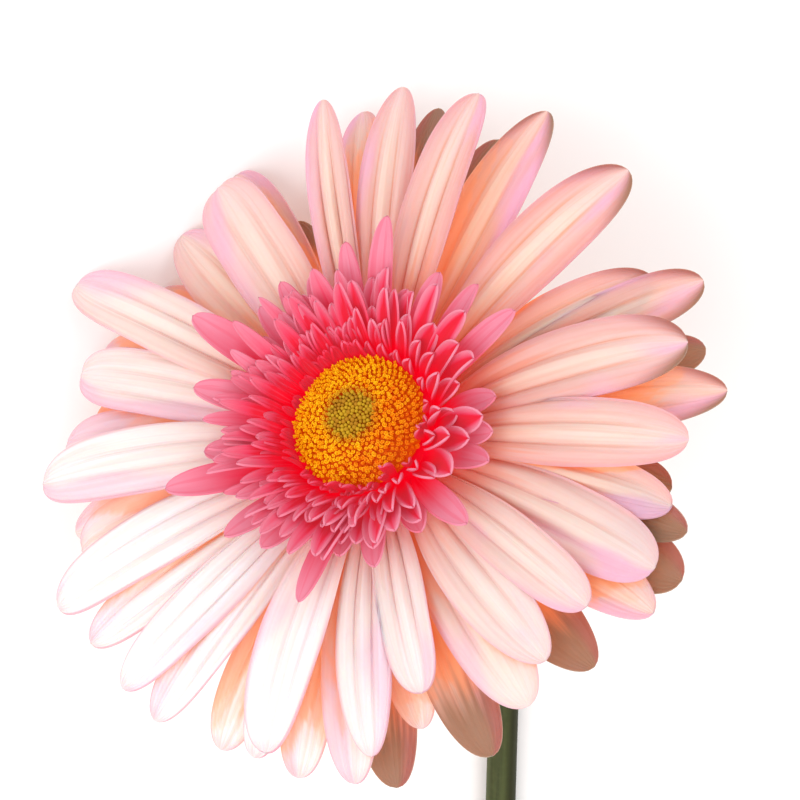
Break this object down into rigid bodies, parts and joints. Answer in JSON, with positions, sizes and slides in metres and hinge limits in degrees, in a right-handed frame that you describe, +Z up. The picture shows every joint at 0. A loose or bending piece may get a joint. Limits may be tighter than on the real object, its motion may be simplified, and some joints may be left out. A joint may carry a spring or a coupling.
{
  "type": "cut gerbera",
  "caption": "Cut gerbera flower lying on its side: a leafless stem curving up to a wide daisy-like head of pale rays round a pink inner ring and a yellow disc.",
  "frame": {"origin": "on the flat underside of the stem, where it lies on the surface, between the cut end and the neck", "axes": "+Y along the stem towards the head, +Z up, the surface that the flower lies on is z = 0"},
  "size_m": [0.1066, 0.4106, 0.0829],
  "materials": {
    "stem": "satin, faintly hairy green skin",
    "involucre": "satin green bracts",
    "outer_rays": "matt velvety cream-peach",
    "inner_rays": "matt velvety hot pink",
    "disc_florets": "matt golden yellow",
    "disc_centre": "matt olive brown"
  },
  "bodies": {
    "root": {"stem": "stem", "involucre": "involucre", "outer_rays": "outer_rays", "inner_rays": "inner_rays", "disc_florets": "disc_florets", "disc_centre": "disc_centre"}
  },
  "joints": []
}
